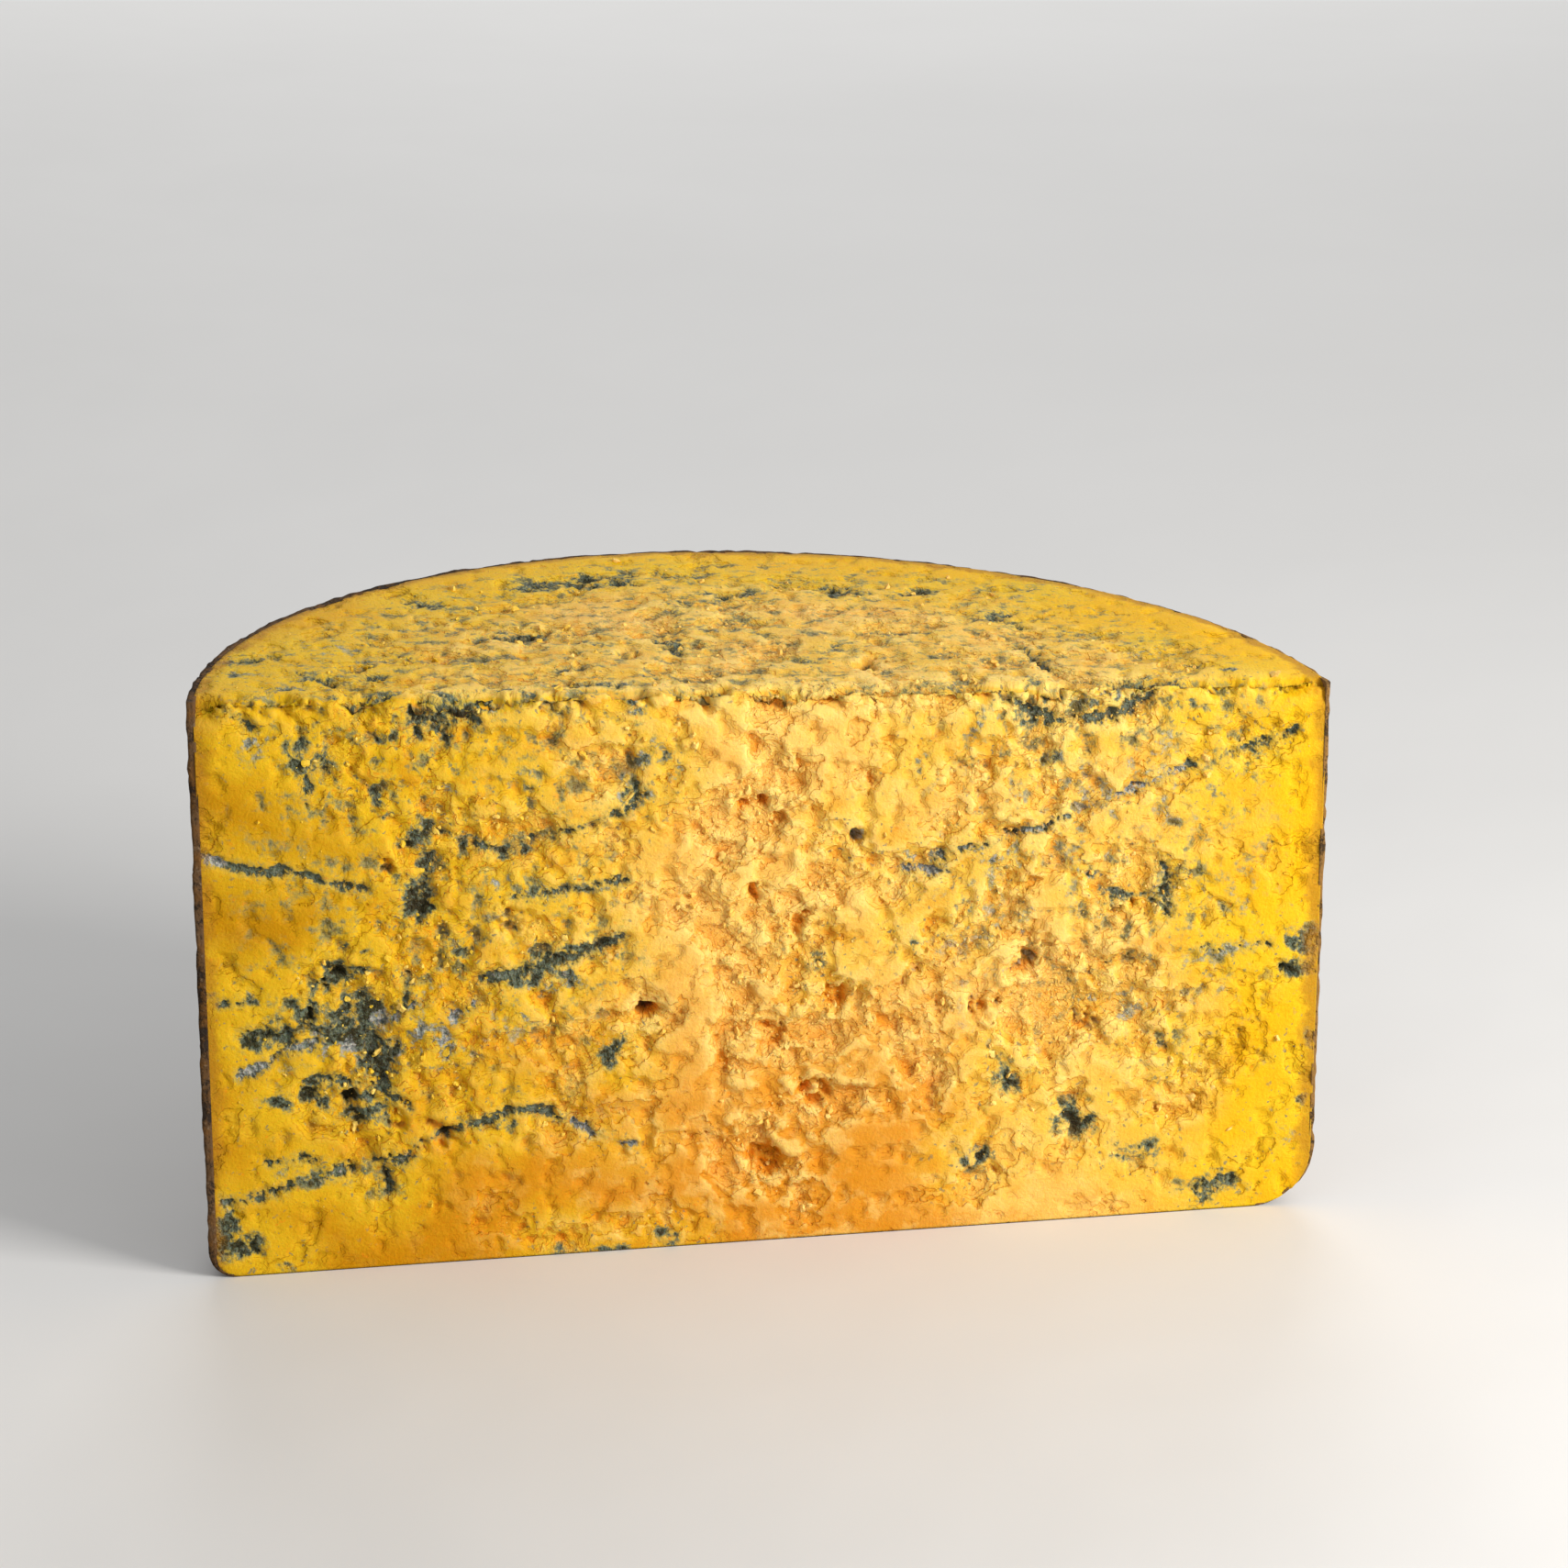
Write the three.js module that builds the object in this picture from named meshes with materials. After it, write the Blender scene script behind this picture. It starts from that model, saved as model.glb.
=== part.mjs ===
// Half wheel of a crumbly, orange-gold blue cheese, standing on its rinded end.
// The whole wheel was cut across at mid height, which left the flat top, and then straight down, which left
// the front. The front faces -Y, the rinded side curves round behind it, and +Z is up. Sizes are millimetres.
import * as THREE from "three";
import { mergeVertices } from "three/addons/utils/BufferGeometryUtils.js";
import { ImprovedNoise } from "three/addons/math/ImprovedNoise.js";

// Driving dimensions
const WHEEL_RADIUS = 105;
const CUT_BEHIND_AXIS = 11.5; // the downward cut missed the wheel's axis by this much
const MIDDLE_HEIGHT = 107.5;
const TOP_SLOPE = 0.034; // fall of the top for each millimetre towards the right
const LEFT_BASE_ROUND = 5; // the end of the wheel is rounded a little more at its right than at its left
const RIGHT_BASE_ROUND = 12;
const RIM_DROP = 0.7; // the crumbly edge of the top is worn down by this much

// Relief of the surfaces
const CURD_SIZE = 9; // width of a typical lump of curd
const CURD_STEP = 2.6; // most that one lump stands above the next on the broken front
const TOP_STEP = 0.8; // the same on the top, where the wire pressed the lumps level
const SMOOTH_BAND = 26; // close to the rind the paste is denser and breaks smoothly
const RIND_RELIEF = 0.7;
const RIND_LUMP = 13;
const FRONT_WAVE = 0.9;
const FRONT_WAVE_LENGTH = 34;
const FOOT_BLEND = 4; // height over which the relief fades towards the flat base
const CREASE_BLEND = 6; // height below the top over which the relief of the front fades to half

// Mesh density
const SIDE_RINGS = 36;
const TOP_RINGS = 17;
const FRONT_CELLS = 66;
const ARC_CELLS = 48;
const LOW_RING_CROWDING = 1.3; // above 1, the rings stand closer together at the rounded foot
const BASE_RINGS = [0.82, 0.5];

// Hollows broken into the front where curd fell out: across, up, radius, depth
const FRONT_HOLLOWS = [
  [-23, 46, 4.5, 3.4],
  [-3, 86, 4, 1.8],
  [6, 62, 5, 2.4],
  [9, 29, 6, 3.2],
  [-1, 16, 6, 3.4],
  [1, 40, 7, 2.2],
  [40, 44, 5, 2],
  [-61, 26, 5, 1.8],
  [66, 62, 5, 1.6],
  [-48, 66, 5, 1.6],
];

// Hollows in the top: across, behind the front edge, radius, depth
const TOP_HOLLOWS = [
  [20, 15, 4.5, 2.2],
  [-23, 24, 5, 1.4],
  [48, 30, 5, 1.2],
  [-58, 14, 5, 1.2],
];

const BROAD_NOISE = new ImprovedNoise();
const CURD_SEED = 417;
const TOP_SEED = 903;

// A repeatable number from 0 to 1 for one square of a grid.
function chance(column, row, seed) {
  return THREE.MathUtils.seededRandom(column * 7919 + row * 104729 + seed);
}

// The lump of curd that belongs to one square of a grid: its middle and how far it stands out, from -1 to 1.
function curdLump(column, row, seed) {
  return {
    across: (column + chance(column, row, seed)) * CURD_SIZE,
    up: (row + chance(column, row, seed + 1)) * CURD_SIZE,
    level: 2 * chance(column, row, seed + 2) - 1,
  };
}

// How far the curd stands out at a place on a cut face, from about -1 to 1. Each lump is a low dome.
function curdLevel(across, up, seed) {
  const column = Math.floor(across / CURD_SIZE);
  const row = Math.floor(up / CURD_SIZE);
  let nearest = Infinity;
  let level = 0;
  for (let i = column - 1; i <= column + 1; i++) {
    for (let j = row - 1; j <= row + 1; j++) {
      const lump = curdLump(i, j, seed);
      const distance = Math.hypot(across - lump.across, up - lump.up);
      if (distance < nearest) {
        nearest = distance;
        level = lump.level - distance / CURD_SIZE;
      }
    }
  }
  return level;
}

// Depth of the hollows at a place on a cut face.
function hollowDepth(hollows, across, up) {
  let depth = 0;
  for (const [middle, height, radius, deepest] of hollows) {
    const distance = Math.hypot(across - middle, up - height) / radius;
    depth = Math.max(depth, deepest * (1 - THREE.MathUtils.smoothstep(distance, 0, 1)));
  }
  return depth;
}

function topHeight(x) {
  return MIDDLE_HEIGHT - TOP_SLOPE * x;
}

// How far the wheel's rounded end lies inside its full radius at a height.
function baseInset(height, round) {
  const below = Math.max(0, round - height);
  return round - Math.sqrt(round * round - below * below);
}

// Half the width of the front at a wheel radius.
function halfWidth(radius) {
  return Math.sqrt(radius * radius - CUT_BEHIND_AXIS * CUT_BEHIND_AXIS);
}

// A place on the outline at a height, before relief, with the direction in which the surface faces there.
// From 0 to 1 the place runs along the front, left to right, and from 1 to 2 round the rinded side.
function outlinePlace(along, height) {
  const leftRadius = WHEEL_RADIUS - baseInset(height, LEFT_BASE_ROUND);
  const rightRadius = WHEEL_RADIUS - baseInset(height, RIGHT_BASE_ROUND);
  if (along <= 1) {
    const x = THREE.MathUtils.lerp(-halfWidth(leftRadius), halfWidth(rightRadius), along);
    const place = new THREE.Vector2(x, CUT_BEHIND_AXIS);
    const outwards = new THREE.Vector2(0, -1);
    return { place, outwards, onFront: true };
  }
  const round = THREE.MathUtils.lerp(RIGHT_BASE_ROUND, LEFT_BASE_ROUND, along - 1);
  const radius = WHEEL_RADIUS - baseInset(height, round);
  const firstAngle = Math.asin(CUT_BEHIND_AXIS / radius);
  const angle = THREE.MathUtils.lerp(firstAngle, Math.PI - firstAngle, along - 1);
  const outwards = new THREE.Vector2(Math.cos(angle), Math.sin(angle));
  return { place: outwards.clone().multiplyScalar(radius), outwards, onFront: false };
}

// How deep under the rind a place in the wheel lies.
function depthUnderRind(x, y, z) {
  return Math.min(WHEEL_RADIUS - Math.hypot(x, y), z);
}

// How rough the broken paste is there, from 0 beside the rind to 1 in the heart of the wheel.
function crumbliness(x, y, z) {
  return THREE.MathUtils.smoothstep(depthUnderRind(x, y, z), 0, SMOOTH_BAND);
}

function frontRelief(x, z) {
  const wave = FRONT_WAVE * BROAD_NOISE.noise(x / FRONT_WAVE_LENGTH, 0.5, z / FRONT_WAVE_LENGTH);
  const roughness = 0.25 + 0.75 * crumbliness(x, CUT_BEHIND_AXIS, z);
  const curd = (CURD_STEP / 2) * roughness * curdLevel(x, z, CURD_SEED);
  return wave + curd - hollowDepth(FRONT_HOLLOWS, x, z);
}

function topRelief(x, y) {
  const roughness = 0.3 + 0.7 * crumbliness(x, y, topHeight(x));
  const curd = (TOP_STEP / 2) * roughness * curdLevel(x, y, TOP_SEED);
  return curd - hollowDepth(TOP_HOLLOWS, x, y - CUT_BEHIND_AXIS);
}

function rindRelief(x, y, z) {
  const broad = BROAD_NOISE.noise(x / RIND_LUMP, y / RIND_LUMP, z / RIND_LUMP);
  const fine = BROAD_NOISE.noise((2 * x) / RIND_LUMP, (2 * y) / RIND_LUMP, (2 * z) / RIND_LUMP + 40);
  return RIND_RELIEF * (broad + fine / 2);
}

// One point of a ring that runs round the front and the rinded side.
function sidePoint(along, level) {
  const flat = outlinePlace(along, level * MIDDLE_HEIGHT);
  const z = level * topHeight(flat.place.x);
  const { place, outwards, onFront } = outlinePlace(along, z);
  const relief = onFront ? frontRelief(place.x, z) : rindRelief(place.x, place.y, z);
  const atCorner = Math.min(along, Math.abs(along - 1), 2 - along);
  const atCrease = THREE.MathUtils.smoothstep(topHeight(place.x) - z, 0, CREASE_BLEND);
  const calm = Math.min(1, z / FOOT_BLEND) * Math.min(1, atCorner * FRONT_CELLS) * (0.5 + atCrease / 2);
  place.addScaledVector(outwards, relief * calm);
  const worn = RIM_DROP * THREE.MathUtils.smoothstep(level, 1 - 1 / SIDE_RINGS, 1);
  return new THREE.Vector3(place.x, place.y, z - worn);
}

// One point of a ring that lies on the top, where scale shrinks the rings towards the middle.
function topPoint(along, scale) {
  const { place } = outlinePlace(along, MIDDLE_HEIGHT);
  const middle = new THREE.Vector2(0, (WHEEL_RADIUS + CUT_BEHIND_AXIS) / 2);
  place.sub(middle).multiplyScalar(scale).add(middle);
  return new THREE.Vector3(place.x, place.y, topHeight(place.x) + topRelief(place.x, place.y));
}

// One point of a ring on the flat base.
function basePoint(along, scale) {
  const { place } = outlinePlace(along, 0);
  const middle = new THREE.Vector2(0, (WHEEL_RADIUS + CUT_BEHIND_AXIS) / 2);
  place.sub(middle).multiplyScalar(scale).add(middle);
  return new THREE.Vector3(place.x, place.y, 0);
}

// A closed ring of points with a number of cells along the front and round the side.
function makeRing(frontCells, arcCells, pointAt) {
  const ring = [];
  for (let i = 0; i < frontCells; i++) {
    ring.push({ along: i / frontCells, point: pointAt(i / frontCells) });
  }
  for (let i = 0; i < arcCells; i++) {
    ring.push({ along: 1 + i / arcCells, point: pointAt(1 + i / arcCells) });
  }
  return ring;
}

// The rings in order, from the base outwards, up the sides and inwards over the top.
function makeRings() {
  const rings = [];
  for (const scale of [...BASE_RINGS].reverse()) {
    const cells = (full) => Math.max(4, Math.round((full * scale) / 3));
    rings.push(makeRing(cells(FRONT_CELLS), cells(ARC_CELLS), (along) => basePoint(along, scale)));
  }
  for (let i = 0; i <= SIDE_RINGS; i++) {
    const level = Math.pow(i / SIDE_RINGS, LOW_RING_CROWDING);
    rings.push(makeRing(FRONT_CELLS, ARC_CELLS, (along) => sidePoint(along, level)));
  }
  for (let i = 1; i < TOP_RINGS; i++) {
    const scale = 1 - i / TOP_RINGS;
    const cells = (full) => Math.max(3, Math.round(full * scale));
    rings.push(makeRing(cells(FRONT_CELLS), cells(ARC_CELLS), (along) => topPoint(along, scale)));
  }
  return rings;
}

// Two neighbouring rings joined by triangles, where the rings may hold different numbers of points. Where the
// points stand above each other, the shorter diagonal is taken, so that no streaks run across the relief.
function joinRings(lower, upper, addTriangle) {
  const alongOf = (ring, i) => (i < ring.length ? ring[i].along : 2);
  const pointOf = (ring, i) => ring[i % ring.length].point;
  let i = 0;
  let j = 0;
  while (i < lower.length || j < upper.length) {
    const lead = alongOf(upper, j + 1) - alongOf(lower, i + 1);
    const lowerDiagonal = pointOf(lower, i + 1).distanceTo(pointOf(upper, j));
    const upperDiagonal = pointOf(lower, i).distanceTo(pointOf(upper, j + 1));
    const lowerFits = lead > 0 || (lead === 0 && lowerDiagonal < upperDiagonal);
    if (i < lower.length && (j >= upper.length || lowerFits)) {
      addTriangle(pointOf(lower, i), pointOf(lower, i + 1), pointOf(upper, j));
      i++;
    } else {
      addTriangle(pointOf(lower, i), pointOf(upper, j + 1), pointOf(upper, j));
      j++;
    }
  }
}

// A ring closed to one point in its middle. Facing down turns the triangles over.
function closeRing(ring, middle, facingDown, addTriangle) {
  for (let i = 0; i < ring.length; i++) {
    const here = ring[i].point;
    const next = ring[(i + 1) % ring.length].point;
    if (facingDown) {
      addTriangle(next, here, middle);
    } else {
      addTriangle(here, next, middle);
    }
  }
}

// The whole surface, stood on z = 0 with its bounding box centred on the origin.
function halfWheelGeometry() {
  const corners = [];
  const addTriangle = (...points) => points.forEach((point) => corners.push(...point.toArray()));
  const rings = makeRings();
  closeRing(rings[0], basePoint(0, 0), true, addTriangle);
  for (let i = 0; i + 1 < rings.length; i++) {
    joinRings(rings[i], rings[i + 1], addTriangle);
  }
  closeRing(rings[rings.length - 1], topPoint(0, 0), false, addTriangle);
  const loose = new THREE.BufferGeometry();
  loose.setAttribute("position", new THREE.Float32BufferAttribute(corners, 3));
  const geometry = mergeVertices(loose, 1e-4);
  geometry.computeBoundingBox();
  const middle = geometry.boundingBox.getCenter(new THREE.Vector3());
  geometry.translate(-middle.x, -middle.y, -geometry.boundingBox.min.z);
  geometry.computeVertexNormals();
  return geometry;
}

const paste = new THREE.MeshStandardMaterial({ color: 0xe0a53a, roughness: 0.6, metalness: 0 });
const halfWheel = new THREE.Mesh(halfWheelGeometry(), paste);
halfWheel.name = "half_wheel";

const group = new THREE.Group();
group.add(halfWheel);
export default group;
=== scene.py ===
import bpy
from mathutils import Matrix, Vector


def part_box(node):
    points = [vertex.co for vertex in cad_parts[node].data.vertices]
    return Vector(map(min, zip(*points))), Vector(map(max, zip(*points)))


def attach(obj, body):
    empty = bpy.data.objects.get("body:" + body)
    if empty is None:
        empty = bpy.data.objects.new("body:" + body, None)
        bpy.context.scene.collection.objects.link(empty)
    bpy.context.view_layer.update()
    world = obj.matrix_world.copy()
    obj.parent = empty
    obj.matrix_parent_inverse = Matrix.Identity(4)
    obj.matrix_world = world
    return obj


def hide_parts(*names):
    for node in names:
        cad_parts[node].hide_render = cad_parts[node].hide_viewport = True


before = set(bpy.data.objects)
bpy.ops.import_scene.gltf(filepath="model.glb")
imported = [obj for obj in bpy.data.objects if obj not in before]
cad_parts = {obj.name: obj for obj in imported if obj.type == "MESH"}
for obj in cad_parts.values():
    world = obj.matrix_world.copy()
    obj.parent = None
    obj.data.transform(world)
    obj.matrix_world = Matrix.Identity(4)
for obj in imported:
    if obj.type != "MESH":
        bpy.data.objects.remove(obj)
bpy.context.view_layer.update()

import math
from types import SimpleNamespace

import bpy
import numpy as np
from mathutils import Vector, noise

# The half wheel's sizes, in millimetres, as in the part's source. The wheel's axis lies in front of the cut.
MM = 0.001
WHEEL_RADIUS = 105
CUT_BEHIND_AXIS = 11.5
MIDDLE_HEIGHT = 107.5
TOP_SLOPE = 0.034
LEFT_BASE_ROUND = 5
RIGHT_BASE_ROUND = 12

# Places worked out from the frame: the flat front behind its relief, the wheel's axis and its back
LOW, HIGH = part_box("half_wheel")
FRONT_STANDS_OUT = 1.45
FRONT = LOW.y / MM + FRONT_STANDS_OUT
AXIS = FRONT - CUT_BEHIND_AXIS
BACK = AXIS + WHEEL_RADIUS

# The rind's thickness, and how far the paste reaches into it
LEFT_RIND = 1.4
RIGHT_RIND = 0.75
BASE_RIND = 0.5
PASTE_INTO_RIND = 0.35

# The meshes of the cut faces, which are split in steps, and of the round side
COLUMNS = (4, 93)
ROWS = (2, 94)
TOP_ROWS = (84,)
TRIMMER_COLUMNS = 180
RIND_COLUMNS = 760
RIND_CUTS = 84

# The curd that shows on the cut faces
TEAR = 13.0
TEAR_DEPTH = 7.0
TEAR_STEP = 0.45
FLAKE = 4.5
FLAKE_DEPTH = 3.5
FLAKE_STEP = 0.25
CHIP = 2.9
GRANULE = 2.5

# How much wider than listed a patch of mould spreads, and how far the paste is yellowed around mould
PATCH_SPREAD = 1.3
YELLOW_REACH = 9.0

# How far the outlines of patches wander from ovals, and over what size
WANDER = 3.0
WANDER_SIZE = 9.0
WANDER_SEED = 3

# Needle tracks and cracks with mould on the front: width, how grey it is from 0 to 1, and places (across, up)
FRONT_TRACKS = [
    (0.8, 0.2, [(-98, 109), (-93, 106)]),
    (1.1, 0.2, [(-84, 97), (-84, 90)]),
    (1.3, 0.1, [(-63, 108), (-63, 102)]),
    (1.2, 0.1, [(-60, 107), (-56, 106), (-52, 104)]),
    (1.3, 0.3, [(-24, 91), (-25, 87), (-34, 84), (-44, 82), (-49, 80), (-53, 81)]),
    (1.8, 0.9, [(-104, 83), (-99, 81)]),
    (1.8, 0.2, [(-99, 81), (-91, 79), (-83, 77), (-74, 74)]),
    (1.2, 0.4, [(-47, 71), (-37, 72), (-27, 73)]),
    (1.3, 0.0, [(-101, 54), (-96, 54)]),
    (1.4, 0.2, [(-67, 57), (-67, 51)]),
    (1.9, 0.3, [(-53, 55), (-47, 56), (-41, 58), (-34, 60), (-28, 62)]),
    (2.2, 0.1, [(-74, 46), (-72, 36)]),
    (2.0, 0.0, [(-96, 48), (-89, 46)]),
    (1.8, 0.7, [(-97, 40), (-91, 43), (-84, 45)]),
    (1.5, 0.8, [(-72, 48), (-64, 52)]),
    (1.3, 0.9, [(-59, 49), (-54, 51)]),
    (1.2, 0.1, [(-84, 38), (-75, 36), (-67, 32)]),
    (1.6, 0.4, [(-101, 15), (-92, 16), (-86, 18), (-81, 20), (-76, 20), (-71, 21), (-66, 22)]),
    (1.5, 0.2, [(-66, 24), (-60, 26), (-54, 28), (-48, 30), (-44, 30), (-39, 27)]),
    (1.1, 0.9, [(-39, 27), (-33, 24), (-25, 21)]),
    (1.1, 0.2, [(-93, 22), (-84, 22)]),
    (1.3, 0.1, [(-72, 19), (-71, 15), (-74, 14)]),
    (1.5, 0.2, [(43, 104), (49, 101), (54, 99), (60, 99), (66, 100), (71, 104)]),
    (1.1, 0.3, [(99, 95), (90, 92), (78, 89)]),
    (1.0, 1.0, [(78, 89), (70, 86), (58, 82)]),
    (0.9, 0.6, [(58, 82), (46, 78), (31, 74)]),
    (1.0, 0.9, [(25, 71), (33, 71)]),
    (1.0, 0.6, [(81, 53), (94, 53)]),
    (1.7, 0.0, [(97, 48), (103, 48)]),
    (1.4, 0.4, [(74, 70), (75, 61)]),
]

# The same on the top: places are (across, behind the front)
TOP_TRACKS = [
    (1.4, 0.2, [(-96, 24), (-90, 24)]),
    (1.3, 0.3, [(-84, 16), (-78, 10)]),
    (1.4, 0.0, [(-73, 14), (-68, 13)]),
    (1.4, 0.2, [(-62, 2), (-55, 1)]),
    (1.4, 0.2, [(-47, 38), (-41, 38), (-35, 40)]),
    (1.8, 0.1, [(-16, 33), (-13, 24)]),
    (1.2, 0.2, [(-28, 70), (-20, 76), (-14, 69)]),
    (1.3, 0.2, [(-37, 67), (-32, 73)]),
    (1.2, 0.3, [(0, 62), (5, 62)]),
    (1.2, 0.3, [(9, 19), (12, 18)]),
    (1.3, 0.2, [(23, 67), (28, 62)]),
    (1.2, 0.2, [(50, 47), (55, 38)]),
    (1.2, 0.3, [(51, 26), (55, 11)]),
    (1.0, 0.3, [(59, 5), (79, 1)]),
    (1.0, 0.4, [(-40, 8), (-22, 5)]),
]

# Patches of mould on the front: place (across, up), half width, half height, how dense and how grey it is
FRONT_PATCHES = [
    (-93, 104, 3, 2, 0.7, 0.7), (-83, 100, 6, 5, 0.9, 0.2), (-76, 95, 2, 2, 0.6, 0.1), (-72, 93, 2, 2, 0.6, 0.1),
    (-70, 89, 3, 2, 0.7, 0.1), (-62, 105, 6, 5, 0.8, 0.3), (-55, 106, 7, 3, 0.7, 0.4), (-45, 109, 5, 2, 0.6, 0.3),
    (-69, 103, 3, 2, 0.6, 0.3), (-44, 92, 4, 3, 0.4, 0.4), (-57, 93, 2, 2, 0.5, 0.9), (-64, 84, 5, 3, 0.7, 0.4),
    (-57, 81, 6, 2, 0.7, 0.2), (-47, 80, 5, 2, 0.7, 0.2), (-25, 89, 3, 4, 0.6, 0.8), (-64, 74, 4, 6, 0.9, 0.2),
    (-48, 75, 2, 2, 0.6, 1.0), (-38, 72, 9, 2, 0.6, 0.4), (-58, 63, 4, 4, 0.6, 0.3), (-75, 62, 3, 2, 0.7, 0.1),
    (-80, 58, 5, 2.5, 1.0, 0.0), (-103, 56, 1.5, 1.5, 0.8, 0.0), (-93, 55, 2, 2, 0.6, 0.6), (-67, 54, 2, 4, 0.6, 0.2),
    (-84, 52, 6, 4, 1.0, 0.1), (-79, 48, 8, 6, 1.1, 0.3), (-73, 43, 5, 6, 1.0, 0.5), (-78, 44, 8, 3, 0.8, 0.9),
    (-93, 47, 5, 2, 0.9, 0.0), (-40, 56, 6, 4, 0.9, 0.5), (-34, 60, 8, 2.5, 0.8, 0.4), (-45, 51, 3, 3, 0.6, 0.6),
    (-48, 56, 5, 2.5, 0.8, 0.2), (-62, 44, 4, 5, 0.7, 0.9), (-84, 35, 3.5, 3, 0.9, 0.1), (-79, 34, 4, 2.5, 0.7, 0.5),
    (-90, 33, 3, 3, 0.9, 0.0), (-75, 31, 4, 3, 0.7, 0.3), (-84, 19, 8, 2.5, 0.5, 0.5), (-50, 29, 9, 2.5, 0.6, 0.3),
    (-72, 16, 3, 4, 0.7, 0.1), (-102, 9, 3.5, 6, 1.3, 0.0), (-98, 5, 4, 3.5, 1.0, 0.1), (-91, 1, 2, 1.5, 0.9, 0.0),
    (-39, 2, 3.5, 2, 1.1, 0.0), (-29, 1, 3, 1.2, 0.9, 0.0), (-18, 1.5, 2.5, 1.4, 0.9, 0.0), (-28, 39, 3, 3, 0.6, 0.3),
    (-26, 105, 3, 3, 0.6, 0.4), (-22, 98, 3, 4, 0.5, 0.5), (-18, 92, 2, 2, 0.5, 1.0), (28, 95, 3, 2, 0.4, 0.6),
    (39, 97, 3, 4, 0.6, 0.6), (50, 102, 7, 3, 0.8, 0.3), (62, 101, 6, 2.5, 0.6, 0.5), (52, 92, 2.5, 2, 0.5, 0.5),
    (78, 99, 3, 2.5, 0.7, 0.2), (90, 92, 4, 2, 0.5, 0.3), (84, 85, 3, 3, 0.5, 0.4), (30, 73, 4, 3, 0.7, 0.9),
    (41, 74, 3.5, 2.5, 0.6, 0.8), (36, 63, 3, 3, 0.5, 0.4), (27, 60, 3, 3, 0.5, 0.4), (10, 54, 3, 2, 0.4, 0.5),
    (61, 70, 3, 2, 0.6, 0.5), (67, 65, 5, 2, 0.8, 0.3), (75, 65, 2.5, 4.5, 0.7, 0.4), (87, 53, 6, 2, 0.4, 0.6),
    (102, 53, 3.5, 3.5, 1.0, 0.3), (100, 48, 4, 1.6, 1.0, 0.0), (103, 31, 2, 3, 0.9, 0.2), (103, 23, 2, 2, 0.8, 0.2),
    (68, 42, 3, 3, 0.3, 1.0), (16, 79, 2.5, 3, 0.3, 1.0), (61, 44, 3, 2, 0.4, 0.7), (75, 34, 3, 2.5, 0.5, 0.4),
    (85, 5, 7, 3, 0.9, 0.2), (98, 16, 3, 3, 0.4, 0.9), (45, 30, 5, 4, 0.6, 0.3), (58, 20, 6, 4, 0.7, 0.2),
    (38, 14, 4, 3, 0.6, 0.4), (70, 14, 5, 3, 0.6, 0.3),
]

# The same on the top
TOP_PATCHES = [
    (-56, 60, 5, 4, 0.8, 0.2), (-35, 70, 6, 5, 0.8, 0.2), (-22, 73, 9, 6, 0.9, 0.2), (-42, 39, 8, 4, 0.8, 0.3),
    (-93, 24, 5, 3, 0.7, 0.3), (-93, 15, 4, 3, 0.6, 0.5), (-80, 13, 6, 3, 0.7, 0.4), (-70, 14, 5, 2, 0.7, 0.2),
    (-58, 3, 7, 3, 0.8, 0.3), (2, 62, 7, 4, 0.7, 0.3), (-14, 30, 4, 6, 0.9, 0.2), (10, 19, 5, 3, 0.6, 0.3),
    (25, 65, 6, 5, 0.8, 0.2), (0, 42, 8, 4, 0.5, 0.4), (51, 45, 5, 5, 0.6, 0.3), (53, 18, 4, 7, 0.5, 0.4),
    (70, 4, 10, 2.5, 0.6, 0.4), (-30, 6, 10, 2, 0.6, 0.4), (5, 6, 8, 2, 0.5, 0.4), (50, 4, 6, 2.5, 0.6, 0.3),
    (-78, 32, 6, 3, 0.4, 0.7), (-70, 22, 6, 3, 0.5, 0.4), (-5, 76, 6, 4, 0.6, 0.3), (60, 62, 6, 4, 0.5, 0.4),
    (-48, 22, 6, 3, 0.5, 0.4), (30, 35, 7, 3, 0.45, 0.4), (74, 22, 5, 3, 0.4, 0.5), (-62, 42, 6, 3, 0.4, 0.4),
    (-86, 5, 7, 2.5, 0.6, 0.4), (-72, 3, 6, 2.5, 0.6, 0.3), (-46, 4, 6, 2.5, 0.6, 0.3), (-34, 14, 5, 3, 0.5, 0.3),
    (-20, 12, 5, 2.5, 0.5, 0.4), (-10, 4, 5, 2, 0.5, 0.4), (18, 26, 5, 3, 0.5, 0.3), (14, 70, 5, 3, 0.5, 0.3),
    (36, 20, 5, 3, 0.45, 0.4), (40, 62, 6, 4, 0.5, 0.3), (-50, 52, 5, 3, 0.5, 0.3), (-8, 56, 5, 4, 0.5, 0.3),
    (88, 6, 5, 2, 0.5, 0.5), (36, 6, 7, 2, 0.5, 0.4), (64, 30, 5, 4, 0.45, 0.4), (-30, 30, 5, 4, 0.5, 0.3),
]

# Hollows where a lump of curd came away: place (across, up), radius and depth
FRONT_HOLLOWS = [
    (-23.4, 47, 2.6, 3.8), (-3, 86, 3.2, 1.8), (6, 62, 4, 1.4), (9, 29, 5, 1.8), (-1, 16, 5, 2.0), (1, 40, 6, 1.4),
    (40, 44, 5, 1.4), (-61, 26, 5, 1.6), (66, 62, 5, 1.4), (-48, 66, 5, 1.4), (-70, 78, 2.5, 1.6), (-70, 29, 3.6, 2.0),
    (16, 79, 2.4, 1.8), (2, 82, 3.2, 1.4), (-78, 34, 2.4, 1.8), (-80, 58, 3.4, 1.4), (-98, 54, 1.8, 1.2),
    (-85, 52, 3.0, 1.2), (-2, 70, 4, 1.6), (12, 48, 4, 1.6), (48, 52, 4, 1.6), (60, 40, 4, 1.6), (-11, 105, 2.4, 1.4),
]
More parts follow.
